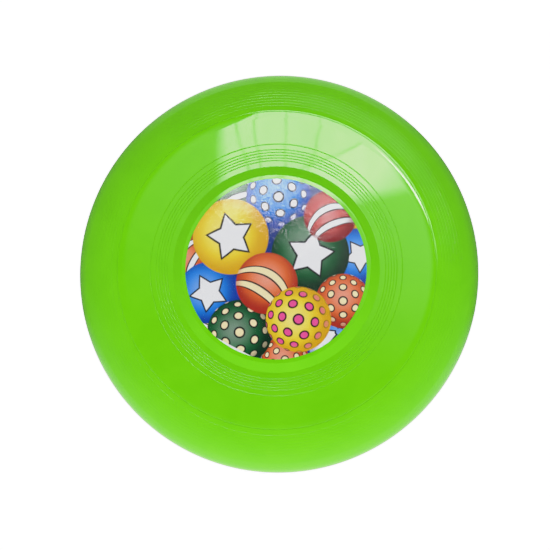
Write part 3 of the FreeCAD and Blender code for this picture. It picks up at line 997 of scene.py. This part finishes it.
# Light from the lamps goes straight through to the print.
clear = gloss_tree.nodes.new("ShaderNodeBsdfTransparent")
path = gloss_tree.nodes.new("ShaderNodeLightPath")
lamps_through = mix_shaders(gloss_tree, path.outputs["Is Shadow Ray"], gloss_shader, clear)
feed(gloss_tree, gloss_tree.nodes["Material Output"], {0: lamps_through})

gloss_film = die_cut("label_gloss", print_bottom + PRINT_THICKNESS, GLOSS_THICKNESS, gloss)
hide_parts("label_gloss_film")
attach(gloss_film, "root")

# ---------------------------------------------
# Floor. A plain white table top, far larger than the disc, that the disc's rim stands on.
# It isn't part of the disc.

FLOOR_HALF = 4.0
TABLE_GREY = (0.36, 0.36, 0.36, 1.0)
TABLE_ROUGHNESS = 0.8
# How bright the table is to the eye, and in what the polished disc mirrors: all round, and how
# much more in front of the disc and behind it.
FLOOR_WHITE = 1.62
MIRRORED_GROUND = 0.22
MIRRORED_FRONT = 0.95
FRONT_EDGE = (-0.500, -0.197)
MIRRORED_BACK = 0.60
BACK_EDGE = (0.70, 0.95)
FOOT_INSET = 0.0050
CLEAR_SOFTNESS = 0.001


def flat_sheet(name, left, right, near, far, height):
    """A level four-cornered sheet that faces up."""
    corners = [(left, near), (right, near), (right, far), (left, far)]
    mesh = bpy.data.meshes.new(name)
    mesh.from_pydata([(x, y, height) for x, y in corners], [], [(0, 1, 2, 3)])
    return add_object(name, mesh)


floor = flat_sheet("floor", -FLOOR_HALF, FLOOR_HALF, -FLOOR_HALF, FLOOR_HALF, 0.0)
table_top, table_tree, table_shader, table_place = new_material("white_table_top")
feed(table_tree, table_shader, {"Base Color": TABLE_GREY, "Roughness": TABLE_ROUGHNESS})
rays = table_tree.nodes.new("ShaderNodeLightPath").outputs
seen_white = put(table_tree, "ShaderNodeEmission", {"Strength": FLOOR_WHITE})
bearing = split(table_tree, vector(table_tree, "NORMALIZE", table_place))["Y"]
lit_front = fade(table_tree, bearing, *FRONT_EDGE, 1.0, 0.0, kind="LINEAR")
lit_back = fade(table_tree, bearing, *BACK_EDGE, kind="LINEAR")
lit_ground = add_up(
    table_tree, MIRRORED_GROUND, (lit_front, MIRRORED_FRONT), (lit_back, MIRRORED_BACK)
)
in_gloss = put(table_tree, "ShaderNodeEmission", {"Strength": lit_ground})
# Seen from below the table is clear, and light comes up through it under the disc.
clear_glass = table_tree.nodes.new("ShaderNodeBsdfTransparent")
from_middle = vector(table_tree, "LENGTH", table_place)
under_disc = below(table_tree, from_middle, DISC_RADIUS - FOOT_INSET, CLEAR_SOFTNESS)
from_below = table_tree.nodes.new("ShaderNodeNewGeometry").outputs["Backfacing"]
table_face = table_shader
for share, other in (
    (under_disc, clear_glass),
    (rays["Is Glossy Ray"], in_gloss),
    (rays["Is Camera Ray"], seen_white),
    (from_below, clear_glass),
):
    table_face = mix_shaders(table_tree, share, table_face, other)
feed(table_tree, table_tree.nodes["Material Output"], {0: table_face})
floor.data.materials.append(table_top)

# ---------------------------------------------
# Studio light. Big soft lamps low at the front and the back light the disc evenly. Above it hangs
# a fabric softbox that the polished plate and the label mirror: a wide sheet with sewn seams,
# brighter at its near corner, and a second one to its right. They aren't part of the disc.

# The light that falls on the disc: from overhead, from the front in a wide and a narrow beam, and
# from the back, all times the strength of the lamps, and the light from below.
LAMPS = 5.6
OVERHEAD = 0.156
FRONT_WIDE = 0.152
FRONT_BEAM = 1.10
BACK_LIGHT = 0.694
FROM_BELOW = 1.1
# The dark room that gloss mirrors: its walls, a haze low down, and more of it at the front.
ROOM = 0.10
LOW_HAZE = 0.12
FRONT_HAZE = 1.4

studio = bpy.data.worlds.new("studio")
bpy.context.scene.world = studio
studio.use_nodes = True
sky_tree = studio.node_tree
sky_tree.nodes.clear()
towards = split(sky_tree, sky_tree.nodes.new("ShaderNodeTexCoord").outputs["Generated"])
front = calc(sky_tree, "MAXIMUM", calc(sky_tree, "MULTIPLY", towards["Y"], -1.0), 0.0)
back = calc(sky_tree, "MAXIMUM", towards["Y"], 0.0)
above = calc(sky_tree, "MAXIMUM", towards["Z"], 0.0)
lamps = add_up(
    sky_tree,
    0.0,
    (above, OVERHEAD),
    (front, FRONT_WIDE),
    (calc(sky_tree, "POWER", front, 3.0), FRONT_BEAM),
    (calc(sky_tree, "POWER", back, 2.0), BACK_LIGHT),
)
downward = calc(sky_tree, "LESS_THAN", towards["Z"], 0.0)
lamps = calc(sky_tree, "MULTIPLY", lamps, LAMPS)
lamps = calc(sky_tree, "MULTIPLY", lamps, calc(sky_tree, "SUBTRACT", 1.0, downward))
lamps = add_up(sky_tree, lamps, (downward, FROM_BELOW))
lit_by = put(sky_tree, "ShaderNodeBackground", {"Strength": lamps})
haze = calc(sky_tree, "POWER", calc(sky_tree, "SUBTRACT", 1.0, above), 2.0)
front_haze = calc(sky_tree, "MULTIPLY", front, haze)
dim = add_up(sky_tree, ROOM, (haze, LOW_HAZE), (front_haze, FRONT_HAZE))
mirrored = put(sky_tree, "ShaderNodeBackground", {"Strength": dim})
sky_rays = sky_tree.nodes.new("ShaderNodeLightPath").outputs
sky = mix_shaders(sky_tree, sky_rays["Is Glossy Ray"], lit_by, mirrored)
put(sky_tree, "ShaderNodeOutputWorld", {0: sky})

key_data = bpy.data.lights.new("key", "AREA")
key_data.shape = "DISK"
key_data.size = 1.2
key_data.energy = 9.0
key = add_object("key", key_data)
key.location = (0.2, -1.2, 1.3)
key.rotation_mode = "QUATERNION"
key.rotation_quaternion = key.location.to_track_quat("Z", "Y")
key.visible_glossy = False

# The softbox hangs level. Its sheets are laid out in metres from the disc's axis.
SOFTBOX_HEIGHT = 1.0
SOFTBOX_SIDES = (-0.45, 0.55, -0.15, 0.62)
DRAPE_SCALE, DRAPE_DETAIL, SWAY = 22.0, 1.5, (0.012, 0.012, 0.0)
FOLD_STRETCH, FOLD_DETAIL = (60.0, 7.0, 1.0), 2.0

# Each edge of a sheet: a point on it, the heading of its lit side, and its softness.
FAR_EDGE = (0.0, 0.56, -90.0, 0.02)
LEFT_EDGE = (-0.112, 0.2, 0.0, 0.010)
NEAR_EDGE = (-0.03, 0.158, 97.0, 0.012)
RIGHT_EDGE = (0.082, 0.200, 140.0, 0.060)
NEAR_CORNER = (-0.009, 0.205, -65.0, 0.004)
SECOND_NEAR = (0.150, 0.262, 62.0, 0.022)
SECOND_RIGHT = (0.42, 0.3, 180.0, 0.03)
SECOND_LEFT = (0.120, 0.3, 20.0, 0.020)
SECOND_HEM = (0.178, 0.300, -118.0, 0.030)
MAIN_GLOW, CORNER_GLOW, FOLD_GLOW = 7.3, 1.6, 2.4
SECOND_GLOW, HEM_GLOW = 4.6, 15.0

# Each seam: a point on it, a point that it runs towards, and how much darker it is.
SEAM_WIDTH = 0.0022
SEAMS = [
    (-0.094, 0.215, -0.120, 0.318, 0.62),
    (-0.080, 0.216, -0.105, 0.436, 0.62),
    (-0.053, 0.219, -0.046, 0.361, 0.50),
    (-0.028, 0.213, 0.018, 0.383, 0.50),
    (-0.009, 0.205, 0.120, 0.265, 0.50),
]

# Faint light that spills round the sheets: its middle, its reach, and its glow there.
SPILLS = [(0.085, 0.175, 0.19, 1.5), (-0.110, 0.230, 0.20, 0.8)]

softbox = flat_sheet("softbox", *SOFTBOX_SIDES, SOFTBOX_HEIGHT)
fabric = bpy.data.materials.new("softbox_fabric")
fabric.use_nodes = True
fabric_tree = fabric.node_tree
fabric_tree.nodes.clear()
fabric_place = fabric_tree.nodes.new("ShaderNodeTexCoord").outputs["Object"]
drape_inputs = {"Vector": fabric_place, "Scale": DRAPE_SCALE, "Detail": DRAPE_DETAIL}
drape = put(fabric_tree, "ShaderNodeTexNoise", drape_inputs).outputs["Color"]
sway = vector(fabric_tree, "SUBTRACT", drape, (0.5, 0.5, 0.5))
swayed = vector(fabric_tree, "MULTIPLY_ADD", sway, SWAY, fabric_place)
cloth = split(fabric_tree, swayed)


def beyond(x, y, heading, softness):
    """A mask that is 1 on the side of the line through (x, y) that the heading points to."""
    turn = math.radians(heading)
    nx, ny = math.cos(turn) / softness, math.sin(turn) / softness
    along = add_up(fabric_tree, 0.0, (cloth["X"], nx), (cloth["Y"], ny))
    return calc(fabric_tree, "ADD", along, 0.5 - x * nx - y * ny, clamp=True)


def seam(x0, y0, x1, y1, depth):
    """A factor that is 1 but for a dark line along the seam from one point towards another."""
    length = math.hypot(x1 - x0, y1 - y0)
    nx, ny = (y1 - y0) / length, (x0 - x1) / length
    off = add_up(fabric_tree, 0.0, (cloth["X"], nx), (cloth["Y"], ny))
    off = calc(fabric_tree, "ABSOLUTE", calc(fabric_tree, "SUBTRACT", off, x0 * nx + y0 * ny))
    line = below(fabric_tree, off, SEAM_WIDTH / 2, SEAM_WIDTH)
    return calc(fabric_tree, "MULTIPLY_ADD", line, -depth, 1.0)


def spill(x, y, reach, strength):
    """A glow that fades away from (x, y)."""
    away = vector(fabric_tree, "DISTANCE", fabric_place, (x, y, SOFTBOX_HEIGHT))
    return fade(fabric_tree, away, 0.0, reach, strength, 0.0)


def times(*factors):
    """The product of several masks."""
    product = factors[0]
    for factor in factors[1:]:
        product = calc(fabric_tree, "MULTIPLY", product, factor)
    return product


far_edge = beyond(*FAR_EDGE)
main_sheet = times(far_edge, beyond(*LEFT_EDGE), beyond(*NEAR_EDGE), beyond(*RIGHT_EDGE))
gathered = put(fabric_tree, "ShaderNodeMapping", {"Vector": swayed, "Scale": FOLD_STRETCH})
folds = noise(fabric_tree, gathered, 1.0, FOLD_DETAIL)
near_corner = beyond(*NEAR_CORNER)
main_glow = add_up(fabric_tree, MAIN_GLOW, (near_corner, CORNER_GLOW), (folds, FOLD_GLOW))
main_light = times(main_sheet, main_glow, *[seam(*line) for line in SEAMS])
second_edge = beyond(*SECOND_NEAR)
second_sheet = times(second_edge, far_edge, beyond(*SECOND_RIGHT), beyond(*SECOND_LEFT))
hem = times(second_edge, beyond(*SECOND_HEM))
second_glow = add_up(fabric_tree, SECOND_GLOW, (hem, HEM_GLOW))
glow = calc(fabric_tree, "MAXIMUM", main_light, times(second_sheet, second_glow))
spilt = calc(fabric_tree, "ADD", *[spill(*middle) for middle in SPILLS])
glow = calc(fabric_tree, "MAXIMUM", glow, spilt)
fabric_glow = put(fabric_tree, "ShaderNodeEmission", {"Strength": glow})
put(fabric_tree, "ShaderNodeOutputMaterial", {0: fabric_glow})
softbox.data.materials.append(fabric)
softbox.visible_camera = False
softbox.visible_diffuse = False
softbox.visible_shadow = False
softbox.visible_transmission = False

# ---------------------------------------------
# Camera. A long lens 1.5 m above the disc, leaning a little to its front. The colour settings
# brighten the middle tones evenly and let the brightest ones off softly.

LENS = 180.0
FILM_WIDTH = 36.0
LEAN = math.radians(6.8)
LEAN_TO = (0.537, -0.843)
AIM = Vector((-0.0019, -0.0011, 0.0049))
DISTANCE = 1.5156
WHITE_LEVEL = 1.6
TONES = (
    (0.1, 0.16), (0.2, 0.32), (0.3, 0.48), (0.4, 0.64), (0.5, 0.745), (0.625, 0.80), (0.81, 0.90)
)

camera_data = bpy.data.cameras.new("camera")
camera_data.lens = LENS
camera_data.sensor_width = FILM_WIDTH
camera = add_object("camera", camera_data)
look = Vector((LEAN_TO[0] * math.sin(LEAN), LEAN_TO[1] * math.sin(LEAN), math.cos(LEAN)))
look.normalize()
across = Vector((0.0, 1.0, 0.0)).cross(look).normalized()
camera.location = AIM + look * DISTANCE
camera.rotation_mode = "QUATERNION"
camera.rotation_quaternion = Matrix((across, look.cross(across), look)).transposed().to_quaternion()
bpy.context.scene.camera = camera

view_settings = bpy.context.scene.view_settings
view_settings.view_transform = "Standard"
view_settings.use_curve_mapping = True
tones = view_settings.curve_mapping
tones.white_level = (WHITE_LEVEL, WHITE_LEVEL, WHITE_LEVEL)
for tone, shown in TONES:
    tones.curves[3].points.new(tone, shown)
tones.update()
